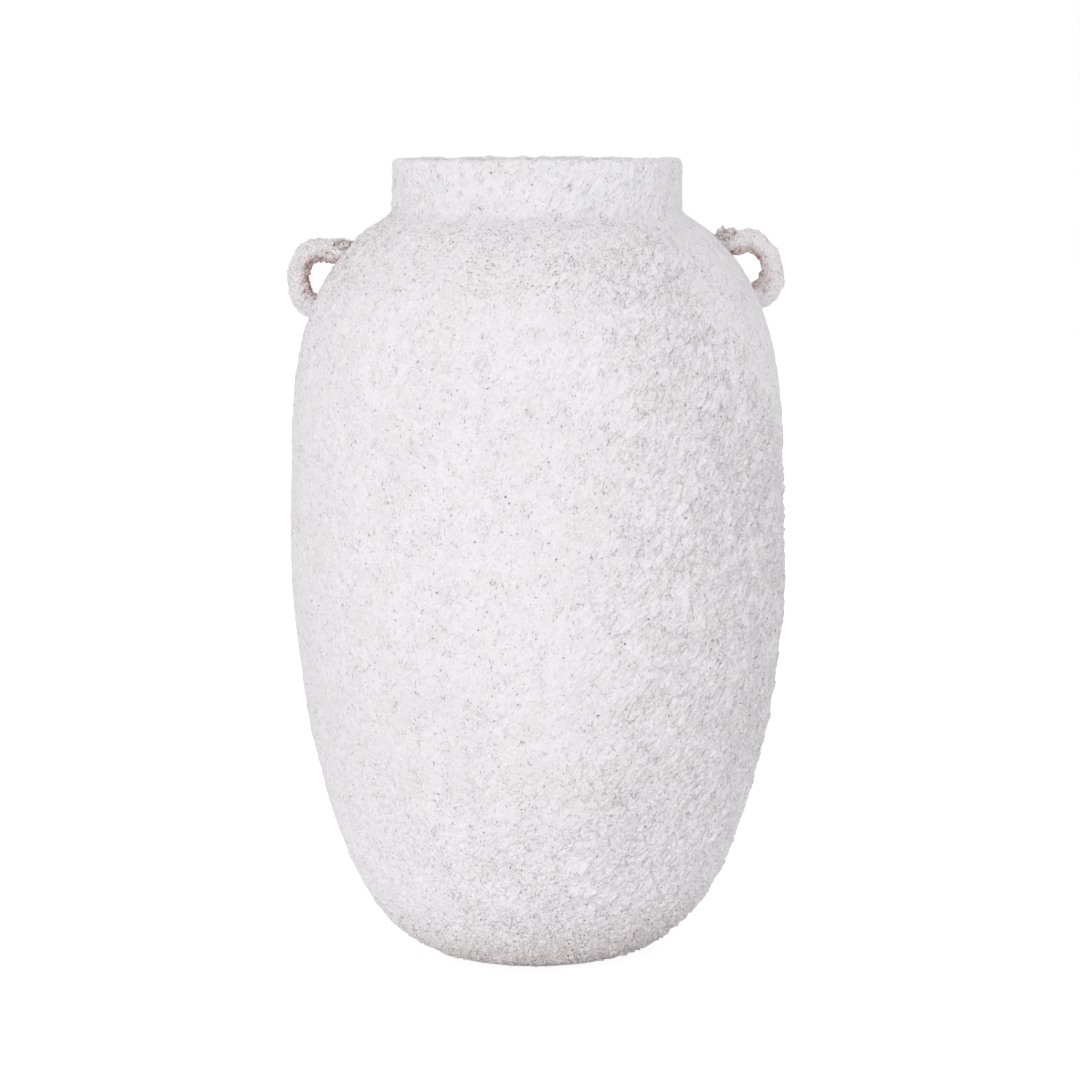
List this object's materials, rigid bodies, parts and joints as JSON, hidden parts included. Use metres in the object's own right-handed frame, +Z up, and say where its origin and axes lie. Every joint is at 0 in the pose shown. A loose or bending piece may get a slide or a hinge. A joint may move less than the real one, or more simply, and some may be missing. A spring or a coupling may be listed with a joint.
{
  "type": "two-handled vase",
  "caption": "Tall rough white earthenware jar with a rounded body, short upright neck, wide mouth and small ear handles at the shoulder.",
  "frame": {"origin": "centre of the foot, on the surface that the vase stands on", "axes": "+Z up through the mouth, handles towards -X and +X, -Y towards the viewer of the picture"},
  "size_m": [0.25, 0.25, 0.4],
  "materials": {
    "rough_white_slip": "matt, crusty white slip with fine dark pits",
    "base_clay": "bare matt clay",
    "handle_slip": "matt white slip, thin enough to show reddish clay in the loop",
    "crumbly_clay": "crumbly matt clay under a thin slip"
  },
  "bodies": {
    "root": {"base_slab": "base_clay", "lower_wall": "rough_white_slip", "upper_wall": "rough_white_slip", "neck_collar": "rough_white_slip", "left_handle": "handle_slip", "right_handle": "handle_slip", "left_upper_clay_wad": "crumbly_clay", "left_lower_clay_wad": "crumbly_clay", "right_upper_clay_wad": "crumbly_clay", "right_lower_clay_wad": "crumbly_clay"}
  },
  "joints": []
}
